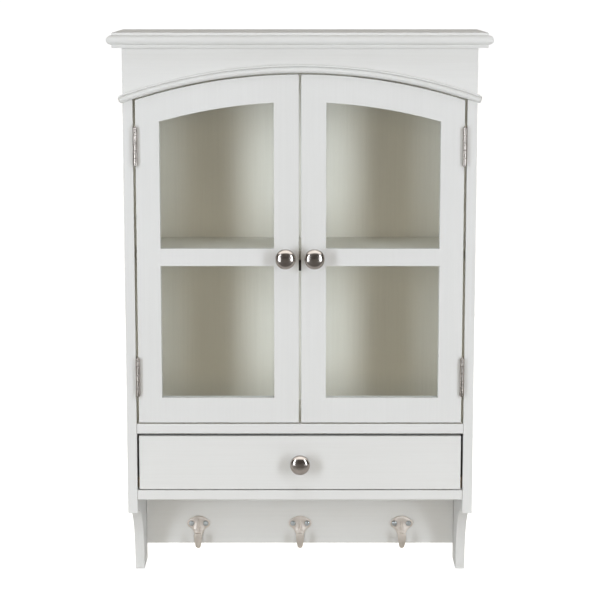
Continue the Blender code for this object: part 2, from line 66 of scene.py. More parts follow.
HOOKS = ("hook_left", "hook_centre", "hook_right")
BOTTOM = CAD_BOX[0].z
FORWARD = Matrix.Rotation(math.pi / 2, 4, "X")
BACKWARD = Matrix.Rotation(-math.pi / 2, 4, "X")


# ---------------------------------------------------------------- node helpers

NOISE_SPAN = (0.3, 0.7)  # where most of a noise texture's values lie
NARROW_SPAN = (0.35, 0.65)
WHOLE_SPAN = (0.0, 1.0)


def feed(tree, socket, value):
    """Links an output to the socket, or gives the socket a plain value."""
    if isinstance(value, bpy.types.NodeSocket):
        tree.links.new(value, socket)
    else:
        socket.default_value = value


def add_node(tree, kind, inputs=(), **settings):
    node = tree.nodes.new(kind)
    for name, value in settings.items():
        setattr(node, name, value)
    for key, value in dict(inputs).items():
        feed(tree, node.inputs[key], value)
    return node


class Shader:
    """A material under construction, with short calls for the nodes that this scene uses."""

    def __init__(self, name):
        self.material = bpy.data.materials.new(name)
        self.material.use_nodes = True
        self.tree = self.material.node_tree
        self.surface = self.tree.nodes["Principled BSDF"]
        self.output = self.tree.nodes["Material Output"]
        self.place = self.add("ShaderNodeTexCoord").outputs["Object"]

    def add(self, kind, inputs=(), **settings):
        return add_node(self.tree, kind, inputs, **settings)

    def set(self, **values):
        """Principled inputs, by name with underscores for spaces."""
        for name, value in values.items():
            feed(self.tree, self.surface.inputs[name.replace("_", " ")], value)

    def axes(self):
        return self.add("ShaderNodeSeparateXYZ", {0: self.place}).outputs

    def stretched(self, scale):
        return self.add("ShaderNodeMapping", {"Vector": self.place, "Scale": scale}).outputs[0]

    def noise(self, scale, detail, roughness=0.55, distortion=0.0, where=None):
        inputs = {"Vector": where or self.place, "Scale": scale, "Detail": detail}
        inputs.update({"Roughness": roughness, "Distortion": distortion})
        return self.add("ShaderNodeTexNoise", inputs).outputs["Fac"]

    def math(self, operation, first, second=0.0):
        return self.add("ShaderNodeMath", {0: first, 1: second}, operation=operation).outputs[0]

    def spread(self, value, span, to):
        """The value with one span of it stretched over another, and held at its ends."""
        inputs = {"Value": value, "From Min": span[0], "From Max": span[1]}
        inputs.update({"To Min": to[0], "To Max": to[1]})
        return self.add("ShaderNodeMapRange", inputs).outputs[0]

    def mix(self, factor, first, second):
        node = self.add("ShaderNodeMix", data_type="RGBA")
        feed(self.tree, node.inputs["Factor"], factor)
        for name, value in (("A", first), ("B", second)):
            feed(self.tree, node.inputs[name], (*value, 1.0) if isinstance(value, tuple) else value)
        return node.outputs["Result"]

    def bump(self, height, strength, distance, under=None):
        inputs = {"Height": height, "Strength": strength, "Distance": distance}
        if under is not None:
            inputs["Normal"] = under
        return self.add("ShaderNodeBump", inputs).outputs[0]


def along_grain(grain, along, across):
    """Texture scales for a pattern that runs along one axis."""
    return tuple(along if axis == grain else across for axis in "xyz")


# ---------------------------------------------------------------- materials

# Paint, as its main colour and the shade in its streaks
OUTER_PAINT = (0.758, 0.762, 0.752), (0.722, 0.725, 0.713)
LEVEL_PAINT = (0.765, 0.767, 0.752), (0.730, 0.731, 0.715)
# The inner colour is drawn brighter and warmer than the outer paint: painted warm bounce light inside the
# glazed compartment.
INNER_PAINT_BOUNCE_LIT = (0.860, 0.840, 0.770), (0.825, 0.804, 0.732)
# The back panel's painted face, drawn brighter and warmer than the outer paint: painted bounce light.
BACK_PAINT_BOUNCE_LIT = (0.865, 0.846, 0.778), (0.825, 0.806, 0.738)
FIBRE_PALE = (0.36, 0.245, 0.150)
FIBRE_DARK = (0.20, 0.125, 0.070)
PINE_PALE = (0.62, 0.45, 0.27)
PINE_RING = (0.44, 0.28, 0.145)
PINE_PORE = (0.68, 0.53, 0.35)
BRUSH_MARKS = {"along": 7.0, "across": 420.0}
PINE_RINGS = {"along": 0.6, "across": 9.0}
FIBRE_SCALE = (260.0, 260.0, 120.0)
METAL_SMUDGE = 0.08
GLASS_IOR = 1.45

# Limits of the glazed compartment, whose walls carry the brighter, warmer inner colour: painted bounce
# light
COMPARTMENT_HALF = 0.2183
COMPARTMENT_FRONT = -0.1590
COMPARTMENT_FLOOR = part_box("cabinet_floor")[1].z - 0.0002
BACK_RAW_FROM = -0.0008  # only the face at the wall is raw
ALL_RAW_FROM = -1.0


def inside(s):
    """1 on surfaces that face into the glazed compartment, where the paint is drawn brighter and warmer as
    painted bounce light, 0 on the outside of the cabinet.
    """
    x, y, z = s.axes()
    between = s.math("LESS_THAN", s.math("ABSOLUTE", x), COMPARTMENT_HALF)
    behind = s.math("GREATER_THAN", y, COMPARTMENT_FRONT)
    above = s.math("GREATER_THAN", z, COMPARTMENT_FLOOR)
    return s.math("MULTIPLY", s.math("MULTIPLY", between, behind), above)


def brush_marks(s, grain):
    where = s.stretched(along_grain(grain, **BRUSH_MARKS))
    return s.noise(1.0, detail=4.0, roughness=0.62, where=where)


def paint(name, grain, colours=OUTER_PAINT, bounce_lit_inside=False):
    """Satin paint laid on with a brush along the grain: fine streaks, a broad cloudiness, a soft sheen; if
    asked, brighter and warmer inside the compartment as painted bounce light.
    """
    s = Shader(name)
    streaks = brush_marks(s, grain)
    clouds = s.noise(5.0, detail=2.0)
    peel = s.noise(900.0, detail=2.0)
    streaked = s.spread(streaks, NOISE_SPAN, (0.0, 0.55))
    tone = s.math("ADD", streaked, s.spread(clouds, NARROW_SPAN, (0.0, 0.45)))
    colour, shade = colours
    coat = s.mix(tone, shade, colour)
    # Inside the compartment the coat turns to the brighter, warmer inner colour: painted bounce light.
    if bounce_lit_inside:
        inner_colour, inner_shade = INNER_PAINT_BOUNCE_LIT
        coat = s.mix(inside(s), coat, s.mix(tone, inner_shade, inner_colour))
    s.set(Base_Color=coat, Roughness=s.spread(streaks, NOISE_SPAN, (0.36, 0.50)))
    s.set(Specular_IOR_Level=0.38)
    brushed = s.bump(streaks, strength=0.16, distance=0.0005)
    s.set(Normal=s.bump(peel, strength=0.06, distance=0.0004, under=brushed))
    return s.material


def fibreboard(name, raw_from):
    """Thin board: raw brown fibre behind the depth raw_from, painted on the face in front of it, in a white
    drawn brighter and warmer than the outer paint: painted bounce light.
    """
    s = Shader(name)
    fibres = s.noise(1.0, detail=5.0, roughness=0.7, distortion=1.2, where=s.stretched(FIBRE_SCALE))
    blots = s.noise(40.0, detail=3.0)
    raw = s.mix(s.spread(fibres, NARROW_SPAN, WHOLE_SPAN), FIBRE_DARK, FIBRE_PALE)
    # The painted face is drawn brighter and warmer than the outer paint: painted bounce light.
    colour, shade = BACK_PAINT_BOUNCE_LIT
    front = s.mix(s.spread(brush_marks(s, "z"), NOISE_SPAN, WHOLE_SPAN), shade, colour)
    is_raw = s.math("GREATER_THAN", s.axes()["Y"], raw_from)
    s.set(Base_Color=s.mix(is_raw, front, raw))
    painted_rough = s.spread(blots, NOISE_SPAN, (0.42, 0.52))
    s.set(Roughness=s.math("ADD", painted_rough, s.math("MULTIPLY", is_raw, 0.2)))
    s.set(Normal=s.bump(fibres, strength=0.12, distance=0.0004))
    return s.material


def bare_wood(name, grain):
    """Pale sanded pine: growth rings stretched along the grain, with fine pores."""
    s = Shader(name)
    where = s.stretched(along_grain(grain, **PINE_RINGS))
    rings = s.noise(9.0, detail=3.0, roughness=0.5, distortion=1.6, where=where)
    bands = s.math("FRACT", s.math("MULTIPLY", rings, 9.0))
    where = s.stretched(along_grain(grain, **BRUSH_MARKS))
    pores = s.noise(1.0, detail=3.0, roughness=0.6, where=where)
    ringed = s.mix(s.spread(bands, WHOLE_SPAN, (0.0, 0.9)), PINE_PALE, PINE_RING)
    s.set(Base_Color=s.mix(s.spread(pores, (0.35, 0.7), (0.0, 0.5)), ringed, PINE_PORE))
    s.set(Roughness=s.spread(pores, NOISE_SPAN, (0.5, 0.66)))
    s.set(Normal=s.bump(pores, strength=0.2, distance=0.0004))
    return s.material


def metal(name, colour, shade, roughness, grain_scale, grain_bump):
    """A plated metal with a little mottling in its colour, its gloss and its surface."""
    s = Shader(name)
    fine = s.noise(grain_scale, detail=3.0, roughness=0.6)
    broad = s.noise(90.0, detail=3.0)
    s.set(Base_Color=s.mix(s.spread(broad, NOISE_SPAN, WHOLE_SPAN), shade, colour), Metallic=1.0)
    smudged = s.spread(broad, NOISE_SPAN, (roughness, roughness + METAL_SMUDGE))
    s.set(Roughness=s.math("ADD", smudged, s.math("MULTIPLY", fine, 0.04)))
    s.set(Normal=s.bump(fine, grain_bump, distance=0.0003))
    return s.material


def plastic(name, colour):
    s = Shader(name)
    fine = s.noise(1400.0, detail=2.0)
    s.set(Base_Color=s.mix(fine, colour, tuple(c * 1.5 for c in colour)))
    s.set(Roughness=s.spread(fine, NOISE_SPAN, (0.36, 0.50)))
    s.set(Normal=s.bump(fine, strength=0.15, distance=0.0003))
    return s.material


def window_glass(name):
    """A clear pane: light passes straight through, and a Fresnel share of it is mirrored.

    Light that leaves through the far face mirrors nothing, so a pane stays clear at a slant."""
    s = Shader(name)
    haze = s.noise(14.0, detail=3.0)
    tint = s.mix(haze, (0.984, 0.992, 0.986), (0.990, 0.996, 0.992))
    through = s.add("ShaderNodeBsdfTransparent", {"Color": tint}).outputs[0]
    gloss = {"Color": (0.9, 0.93, 0.92, 1.0), "Roughness": s.spread(haze, NOISE_SPAN, (0.01, 0.05))}
    mirror = s.add("ShaderNodeBsdfGlossy", gloss).outputs[0]
    leaving = s.add("ShaderNodeNewGeometry").outputs["Backfacing"]
    fresnel = s.add("ShaderNodeFresnel", {"IOR": GLASS_IOR}).outputs[0]
    share = s.math("MULTIPLY", fresnel, s.math("SUBTRACT", 1.0, leaving))
    both = s.add("ShaderNodeMixShader", {0: share, 1: through, 2: mirror}).outputs[0]
    feed(s.tree, s.output.inputs["Surface"], both)
    return s.material


PAINT_UPRIGHT = paint("paint_upright_grain", "z")
PAINT_LEVEL = paint("paint_level_grain", "x", LEVEL_PAINT)
PAINT_DEPTH = paint("paint_depth_grain", "y")
# Side panels and floor carry painted bounce light on their faces inside the compartment; the shelf and rail
# carry it all over.
PAINT_SIDE_BOUNCE_LIT_INSIDE = paint("paint_side_panel_bounce_lit_inside", "z", bounce_lit_inside=True)
PAINT_FLOOR_BOUNCE_LIT_INSIDE = paint("paint_cabinet_floor_bounce_lit_inside", "x", bounce_lit_inside=True)
PAINT_INSIDE_BOUNCE_LIT = paint("paint_inside_bounce_lit", "x", INNER_PAINT_BOUNCE_LIT)
# Its painted front carries painted bounce light.
BACK_BOARD = fibreboard("fibreboard", BACK_RAW_FROM)
THIN_BOARD = fibreboard("fibreboard_raw", ALL_RAW_FROM)
PINE_DEPTH = bare_wood("pine_depth_grain", "y")
PINE_LEVEL = bare_wood("pine_level_grain", "x")
NICKEL = metal("dark_nickel", (0.50, 0.455, 0.42), (0.43, 0.39, 0.36),
               roughness=0.12, grain_scale=1500.0, grain_bump=0.03)
HINGE_NICKEL = metal("hinge_nickel", (0.48, 0.44, 0.40), (0.38, 0.34, 0.31),
                     roughness=0.17, grain_scale=1500.0, grain_bump=0.06)
CAST_ZINC = metal("cast_zinc", (0.88, 0.81, 0.74), (0.76, 0.69, 0.62),
                  roughness=0.46, grain_scale=1100.0, grain_bump=0.30)
BRIGHT_STEEL = metal("bright_steel", (0.72, 0.75, 0.76), (0.60, 0.63, 0.64),
                     roughness=0.24, grain_scale=1800.0, grain_bump=0.05)
DULL_STEEL = metal("dull_steel", (0.50, 0.50, 0.49), (0.42, 0.42, 0.41),
                   roughness=0.34, grain_scale=1500.0, grain_bump=0.08)
CATCH_BROWN = plastic("brown_plastic", (0.040, 0.030, 0.022))
GLASS = window_glass("window_glass")


# ---------------------------------------------------------------- shapes

SHARP_ANGLE = 35
PLANAR_ANGLE = 0.5
WELD_DISTANCE = 0.00001
CURVE_STEPS = 4
CORNER_STEPS = 4
ROUND_STEPS = 2
SMOOTH_ROUND_STEPS = 3
BOARD_EDGE = 0.0006
DOOR_EDGE = 0.0004
THIN_EDGE = 0.0003


def loft(rings):
    """A closed skin through rings of equal count. A ring of one point is a tip, others are capped."""
    shape = bmesh.new()
    made = [[shape.verts.new(point) for point in ring] for ring in rings]
    for low, high in zip(made, made[1:]):
        for i in range(max(len(low), len(high))):
            corners = [low[(i - 1) % len(low)], low[i % len(low)]]
            corners += [high[i % len(high)], high[(i - 1) % len(high)]]
            shape.faces.new(list(dict.fromkeys(corners)))
    for end in (made[0], made[-1]):
        if len(end) > 1:
            shape.faces.new(end)
    return shape


def circle(radius, height, steps):
    angles = [2 * math.pi * i / steps for i in range(steps)]
    return [(radius * math.cos(a), radius * math.sin(a), height) for a in angles]


def turned(profile, steps):
    """A profile of (radius, height) turned about Z. A radius of zero is a tip on the axis."""
    return loft([circle(r, z, steps) if r else [(0, 0, z)] for r, z in profile])


def box(low, high):
    shape = bmesh.new()
    bmesh.ops.create_cube(shape, size=1.0)
    low, high = Vector(low), Vector(high)
    bmesh.ops.scale(shape, vec=high - low, verts=shape.verts)
    bmesh.ops.translate(shape, vec=(high + low) / 2, verts=shape.verts)
    return shape


def curve_value(before, start, end, after, t):
    """A Catmull-Rom curve's value at t between start and end."""
    linear = end - before
    square = 2 * before - 5 * start + 4 * end - after
    cube = 3 * start - before - 3 * end + after
    return 0.5 * (2 * start + linear * t + square * t * t + cube * t ** 3)


def smoothed(points):
    """A Catmull-Rom curve through 2-D points, each end held."""
    path = []
    last = len(points) - 1
    for i in range(last):
        near = points[max(i - 1, 0)], points[i], points[i + 1], points[min(i + 2, last)]
        for k in range(CURVE_STEPS):
            path.append(tuple(curve_value(*along_axis, k / CURVE_STEPS) for along_axis in zip(*near)))
    return path + [points[last]]


def arc(centre, radius, start, end, steps):
    angles = [math.radians(start + (end - start) * i / steps) for i in range(steps + 1)]
    return [(centre[0] + radius * math.cos(a), centre[1] + radius * math.sin(a)) for a in angles]


def solid(name, shape, finish, place=None, angle=SHARP_ANGLE):
    """An object from a bmesh, shaded smooth except over edges sharper than the angle."""
    bmesh.ops.recalc_face_normals(shape, faces=shape.faces)
    mesh = bpy.data.meshes.new(name)
    shape.to_mesh(mesh)
    shape.free()
    if place is not None:
        mesh.transform(place)
    mesh.materials.append(finish)
    mesh.shade_smooth()
    mesh.set_sharp_from_angle(angle=math.radians(angle))
    made = bpy.data.objects.new(name, mesh)
    bpy.context.scene.collection.objects.link(made)
    return made


def rounded(obj, width, segments=ROUND_STEPS):
    """A real round on the edges of a piece."""
    edge = obj.modifiers.new("round", "BEVEL")
    edge.width = width
    edge.segments = segments
    edge.limit_method = "ANGLE"
    edge.angle_limit = math.radians(SHARP_ANGLE)
    edge.use_clamp_overlap = True
    flat = obj.modifiers.new("flat_faces", "WEIGHTED_NORMAL")
    flat.keep_sharp = False
    return obj


def joined(target, others, operation="UNION"):
    """The target after Booleans with the others, which are used up."""
    for other in others:
        step = target.modifiers.new("join", "BOOLEAN")
        step.operation = operation
        step.object = other
    graph = bpy.context.evaluated_depsgraph_get()
    mesh = bpy.data.meshes.new_from_object(target.evaluated_get(graph))
    target.modifiers.clear()
    target.data = mesh
    for other in others:
        bpy.data.objects.remove(other, do_unlink=True)
    mesh.shade_smooth()
    mesh.set_sharp_from_angle(angle=math.radians(SHARP_ANGLE))
    return target


def stands_for(piece, body, slot_name, *nodes):
    """Puts a piece on its body, in place of the CAD nodes that it shows, if any. The slot_name is not used.
    """
    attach(piece, body)
    if nodes:
        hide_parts(*nodes)


def middle(node):
    low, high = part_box(node)
    return (low + high) / 2


def dress(node, finish, edge=0.0):
    """A CAD node with its final finish and, where asked, softened edges."""
    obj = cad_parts[node]
    for held in obj.material_slots:
        held.material = finish
    if edge:
        weld = obj.modifiers.new("weld", "WELD")
        weld.merge_threshold = WELD_DISTANCE
        planar = obj.modifiers.new("planar", "DECIMATE")
        planar.decimate_type = "DISSOLVE"
        planar.angle_limit = math.radians(PLANAR_ANGLE)
        rounded(obj, edge)


# ---------------------------------------------------------------- cornice and mouldings

CORNICE_FILLET = 0.012
CORNICE_ROUND = 0.0185
CORNICE_SOFT = 0.0006
CORNICE_STEPS = 28
CORNICE_SHARP = 28
CORNICE_LOWER_FILLET = 0.0042
CORNICE_UPPER_FILLET = 0.0035
FRIEZE_ARCH = 0.712
ARCH_CENTRE = BOTTOM - 0.014
ARCH_STEPS = 72
ARCH_END_STEPS = 9
ARCH_END_CLOSING = 9.3  # a little over the steps, so that the last ring isn't quite a point
BEAD_ROUND = 0.008
BEAD_STEPS = 16
BEAD_HEIGHT = 0.0105
BEAD_FILLET = 0.0024
BEAD_BASE = 0.0012
BEAD_SOFT = 0.0005
BEAD_GROOVE = 0.0002
BEAD_SHARP = 40


def cornice():
    """The top board with its moulded edge: a half-round nose between two fillets, mitred at the corners."""
    low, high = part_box("top_board")
    body_x = high.x - CORNICE_ROUND
    body_y = low.y + CORNICE_ROUND
    round_low = low.z + CORNICE_LOWER_FILLET
    round_high = high.z - CORNICE_UPPER_FILLET
    radius = (round_high - round_low) / 2
    swell = (CORNICE_ROUND - CORNICE_FILLET) / radius
    soft = CORNICE_SOFT
    foot = arc((-soft, low.z + soft), soft, -90, 0, CORNER_STEPS)
    nose = arc((0, (round_low + round_high) / 2), radius, -90, 90, CORNICE_STEPS)
    head = arc((-soft, high.z - soft), soft, 0, 90, CORNER_STEPS)
    profile = [(CORNICE_FILLET + out, z) for out, z in foot]
    profile += [(CORNICE_FILLET + swell * out, z) for out, z in nose]
    profile += [(CORNICE_FILLET + out, z) for out, z in head]
    rings = []
    for out, z in profile:
        x, y = body_x + out, body_y - out
        rings.append([(-x, high.y, z), (-x, y, z), (x, y, z), (x, high.y, z)])
    made = solid("cornice_board", loft(rings), PAINT_LEVEL, angle=CORNICE_SHARP)
    stands_for(made, "cabinet", "paint", "top_board")


def bead_profile(proud):
    """A round bead with a thin fillet above it, as (height, projection)."""
    half = BEAD_ROUND / 2
    turns = [math.pi * i / BEAD_STEPS for i in range(BEAD_STEPS + 1)]
    nose = [(half - half * math.cos(t), BEAD_BASE + (proud - BEAD_BASE) * math.sin(t)) for t in turns]
    soft = BEAD_SOFT
    fillet = [(BEAD_ROUND + BEAD_GROOVE, BEAD_FILLET - soft), (BEAD_ROUND + soft, BEAD_FILLET)]
    fillet += [(BEAD_HEIGHT - soft, BEAD_FILLET), (BEAD_HEIGHT, BEAD_FILLET - soft), (BEAD_HEIGHT, 0.0)]
    return [(0.0, 0.0)] + nose + fillet


def arch_bead():
    """The bead along the arch, whose rings shrink at both ends to close it with a round nose."""
    low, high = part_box("arch_moulding")
    profile = bead_profile(high.y - low.y)
    centre = BEAD_HEIGHT / 2
    reach = math.asin(high.x / (FRIEZE_ARCH + centre))
    nose = BEAD_HEIGHT / 2 / high.x
    straight = reach * (1 - nose)
    stations = [(straight * (2 * i / ARCH_STEPS - 1), 1.0) for i in range(ARCH_STEPS + 1)]
    ends = []
    for k in range(1, ARCH_END_STEPS + 1):
        t = math.radians(90 * k / ARCH_END_CLOSING)
        ends.append((reach * (1 - nose + nose * math.sin(t)), math.cos(t)))
    stations = [(-angle, size) for angle, size in reversed(ends)] + stations + ends
    rings = []
    for angle, size in stations:
        ring = []
        for height, out in profile:
            radius = FRIEZE_ARCH + centre + (height - centre) * size
            x, z = radius * math.sin(angle), ARCH_CENTRE + radius * math.cos(angle)
            ring.append((x, high.y - out * size, z))
        rings.append(ring)
    made = solid("arch_bead", loft(rings), PAINT_LEVEL, angle=BEAD_SHARP)
    stands_for(made, "cabinet", "paint", "arch_moulding")


def side_beads():
    for side, sign in SIDES.items():
        node = f"side_moulding_{side}"
        low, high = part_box(node)
        inner = low.x if sign > 0 else high.x
        profile = [(inner + sign * out, low.z + z) for z, out in bead_profile(high.x - low.x)]
        rings = [[(x, y, z) for x, z in profile] for y in (low.y, high.y)]
        made = solid(f"side_bead_{side}", loft(rings), PAINT_DEPTH, angle=BEAD_SHARP)
        stands_for(made, "cabinet", "paint", node)


# ---------------------------------------------------------------- knobs and screws

KNOB_FOOT = ((0, 0.0), (0.0058, 0.0))
KNOB_SIDE = (
    (0.0062, 0.0004), (0.0061, 0.0016), (0.0050, 0.0027), (0.0041, 0.0060), (0.0043, 0.0098),
    (0.0068, 0.0127), (0.0110, 0.0143), (0.0131, 0.0160), (0.0134, 0.0182), (0.0126, 0.0208),
    (0.0098, 0.0231), (0.0055, 0.0245),
)
KNOB_TOP = ((0.0055, 0.0245), (0.0028, 0.02488), (0.0004, 0.0250))
KNOB_TIP = (0, 0.0250)
KNOB_STEPS = 56

# A screw's proportions: the thread by its shank's radius or by its pitch, the head by its own size
THREAD_PITCH = 0.7
THREAD_ROOT = 0.72
THREAD_TURN = ((THREAD_ROOT, -0.35), (1.0, -0.05), (THREAD_ROOT, 0.25))
THREAD_TIP = 1.2
SCREW_NECK = 0.9
SCREW_STEPS = 28
SCREW_SHARP = 30
HEAD_ANGLES = (0, 20, 40, 58, 74)
HEAD_RIM = 0.35
RECESS_HALF = 0.16
RECESS_REACH = 0.62
RECESS_FLOOR = 0.45
RECESS_TURN = 0.5
HOOK_SCREW = {"head": 0.0018, "shank": 0.0015}
KNOB_SCREW = {"head": 0.0025, "shank": 0.002}


def knob(node, body):
    """A mushroom knob, turned on one smooth curve, at its CAD node's place."""
    at = middle(node)
    profile = [*KNOB_FOOT, *smoothed(KNOB_SIDE)[:-1], *smoothed(KNOB_TOP), KNOB_TIP]
    place = Matrix.Translation((at.x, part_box(node)[1].y, at.z)) @ FORWARD
    made = solid(f"{node}_turned", turned(profile, KNOB_STEPS), NICKEL, place)
    stands_for(made, body, "nickel", node)


def cross_head(name, radius, head, reach, shank, finish, place):
    """A pan-head screw: a domed head with a cross recess, over a threaded shank."""
    pitch = shank * THREAD_PITCH
    turns = max(1, int((reach - shank * THREAD_TIP) / pitch))
    profile = [(0, -reach), (shank * THREAD_ROOT, -turns * pitch - pitch * 0.5)]
    for i in range(turns, 0, -1):
        profile += [(shank * share, -i * pitch + pitch * rise) for share, rise in THREAD_TURN]
    profile += [(shank * SCREW_NECK, -0.0001), (radius, 0.0)]
    for a in [math.radians(degrees) for degrees in HEAD_ANGLES]:
        profile.append((radius * math.cos(a), head * (HEAD_RIM + (1 - HEAD_RIM) * math.sin(a))))
    made = solid(name, turned(profile + [(0, head)], SCREW_STEPS), finish, angle=SCREW_SHARP)
    half, arm = radius * RECESS_HALF, radius * RECESS_REACH
    low, high = (-arm, -half, head * RECESS_FLOOR), (arm, half, head * 2)
    cutters = []
    for turn in (0, math.pi / 2):
        cutter = solid("cutter", box(low, high), finish)
        cutter.data.transform(Matrix.Rotation(turn + RECESS_TURN, 4, "Z"))
        cutters.append(cutter)
    joined(made, cutters, "DIFFERENCE")
    made.data.transform(place)
    return made


def node_screw(node, body, finish, forward, head, shank):
    """A cross-head screw as long and as wide as its CAD node, its head to the front or to the back."""
    low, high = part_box(node)
    at = middle(node)
    face = low.y + head if forward else high.y - head
    place = Matrix.Translation((at.x, face, at.z)) @ (FORWARD if forward else BACKWARD)
    radius = (high.x - low.x) / 2
    made = cross_head(f"{node}_cross", radius, head, high.y - low.y - head, shank, finish, place)
    stands_for(made, body, "steel", node)


def knobs():
    bodies = {"left_door_knob": "left_door", "right_door_knob": "right_door", "drawer_knob": "drawer"}
    for node, body in bodies.items():
        knob(node, body)
    for node, body in bodies.items():
        node_screw(f"{node}_screw", body, DULL_STEEL, forward=False, **KNOB_SCREW)


def hook_screws():
    for name in HOOKS:
        for side in SIDES:
            node_screw(f"{name}_screw_{side}", "cabinet", BRIGHT_STEEL, forward=True, **HOOK_SCREW)


def flush_head(steps, radius, depth, crown_radius, crown, rim=0.0, tip=None):
    """A nearly flat head, sunk to a depth below the surface at height 0."""
    top = crown if tip is None else tip
    return turned([(0, -depth), (radius, -depth), (radius, rim), (crown_radius, crown), (0, top)], steps)


# ---------------------------------------------------------------- hooks

HOOK_SCREW_X = 0.0100
HOOK_SCREW_Z = BOTTOM + 0.055
HOOK_PLATE = 0.0025
HOOK_LOBE = 0.0062
HOOK_LOBE_TURN = (48, -68)
HOOK_LOBE_STEPS = 16
HOOK_HEAD_STEPS = 5
HOOK_TOP = 0.0105
HOOK_WAIST = (0.0086, -0.0090)
HOOK_NECK = (0.0072, -0.0120)
HOOK_FOOT = (0.0052, -0.0170)
HOOK_EDGE = 0.0006
PRONG_THICK = 0.0036
PRONG_DOWN = ((-0.0021, -0.0080), (-0.0023, -0.0210), (-0.0050, -0.0315), (-0.0120, -0.0315))
PRONG_UP = ((-0.0120, -0.0315), (-0.0195, -0.0315), (-0.0225, -0.0220), (-0.0235, -0.0090))
PRONG_NECK_WIDTH = 0.0126
PRONG_NARROWING = 0.0066
PRONG_WIDENING = 0.0062
PRONG_NARROWEST = 0.62  # where along the prong it stops narrowing
PRONG_WIDENS = 0.55
PRONG_TIP = (0.80, 0.93)  # how wide the last rings are, from the tip inwards
PRONG_TIP_THIN = 0.45
PRONG_STEPS = 22
PRONG_SIDES = 20
RIB_TOP = 0.0052
RIB_LENGTH = 0.0190
RIB_STEPS = 14
RIB_SIDES = 8
RIB_SUNK = 0.0006
RIB_PROUD = (0.0003, 0.0017, 0.75, 0.08)
RIB_HALF = (0.0004, 0.0010, 0.8, 0.1)
SEAT_RADIUS = 0.0041
SEAT_DEPTH = 0.0008
SEAT_CLEAR = 0.001
SEAT_STEPS = 32


def hook_plate():
    """The plate: two lobes round the screws, drawn in to the neck that the prong leaves from."""
    lobe = arc((HOOK_SCREW_X, 0), HOOK_LOBE, *HOOK_LOBE_TURN, HOOK_LOBE_STEPS)
    corner_x, corner_z = lobe[0]
    head = []
    for i in range(HOOK_HEAD_STEPS):
        t = i / HOOK_HEAD_STEPS
        head.append((corner_x * t, HOOK_TOP - (HOOK_TOP - corner_z) * t * t))
    throat = smoothed((lobe[-1], HOOK_WAIST, HOOK_NECK, HOOK_FOOT))[1:]
    right = head + lobe + throat
    left = [(-x, z) for x, z in reversed(right[1:])]
    return loft([[(x, y, z) for x, z in right + left] for y in (-HOOK_PLATE, 0)])


def prong_width(t):
    """The prong narrows from the neck to its bend and widens again towards the tip."""
    narrowed = PRONG_NARROWING * math.sin(math.pi * min(t / PRONG_NARROWEST, 1) / 2)
    widened = PRONG_WIDENING * max(t - PRONG_WIDENS, 0) / (1 - PRONG_WIDENS)
    return PRONG_NECK_WIDTH - narrowed + widened


def prong():
    """The tongue: it leaves the neck, turns up in a J and widens into a rounded tip."""
    path = []
    for ends in (PRONG_DOWN, PRONG_UP):
        curve = interpolate_bezier(*[Vector((0, y, z)) for y, z in ends], PRONG_STEPS)
        path += curve[1:] if path else curve
    last = len(path) - 1
    rings = []
    for i, point in enumerate(path):
        along = (path[min(i + 1, last)] - path[max(i - 1, 0)]).normalized()
        across = Vector((0, -along.z, along.y))
        left = last - i
        closing = PRONG_TIP[left] if left < len(PRONG_TIP) else 1.0
        half = prong_width(i / last) / 2 * closing
        thick = PRONG_THICK / 2 * (PRONG_TIP_THIN + (1 - PRONG_TIP_THIN) * closing)
        ring = []
        for k in range(PRONG_SIDES):
            a = 2 * math.pi * (k + 0.5) / PRONG_SIDES
            ring.append(point + Vector((half * math.cos(a), 0, 0)) + across * thick * math.sin(a))
        rings.append(ring)
    return loft(rings)


def swelling(t, least, more, rate, start):
    """A size that swells from its least and falls back, over t from 0 to 1."""
    return least + more * math.sin(math.pi * min(t * rate + start, 1.0))


def hook_rib():
    """The stiffening rib down the middle of the plate, highest at the neck."""
    rings = []
    turns = [math.pi * k / RIB_SIDES for k in range(RIB_SIDES + 1)]
    foot = -HOOK_PLATE + RIB_SUNK
    for i in range(RIB_STEPS + 1):
        t = i / RIB_STEPS
        z = RIB_TOP - RIB_LENGTH * t
        height = swelling(t, *RIB_PROUD) + RIB_SUNK
        half = swelling(t, *RIB_HALF)
        rings.append([(half * math.cos(a), foot - height * math.sin(a), z) for a in turns])
    return loft(rings)


def screw_seat(x):
    """The round seat for a screw's head, as the cutter that sinks it into the plate's face."""
    above, below = -HOOK_PLATE - SEAT_CLEAR, -HOOK_PLATE + SEAT_DEPTH
    shape = turned([(0, above), (SEAT_RADIUS, above), (SEAT_RADIUS, below), (0, below)], SEAT_STEPS)
    return solid("seat", shape, CAST_ZINC, Matrix.Translation((x, 0, 0)) @ BACKWARD)


def hooks():
    for name in HOOKS:
        low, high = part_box(name)
        place = Matrix.Translation(((low.x + high.x) / 2, high.y, HOOK_SCREW_Z))
        plate = rounded(solid(f"{name}_cast", hook_plate(), CAST_ZINC), HOOK_EDGE, SMOOTH_ROUND_STEPS)
        made = joined(plate, [solid("prong", prong(), CAST_ZINC), solid("rib", hook_rib(), CAST_ZINC)])
        joined(made, [screw_seat(-HOOK_SCREW_X), screw_seat(HOOK_SCREW_X)], "DIFFERENCE")
        made.data.transform(place)
        stands_for(made, "cabinet", "zinc", name)


# ---------------------------------------------------------------- hinges

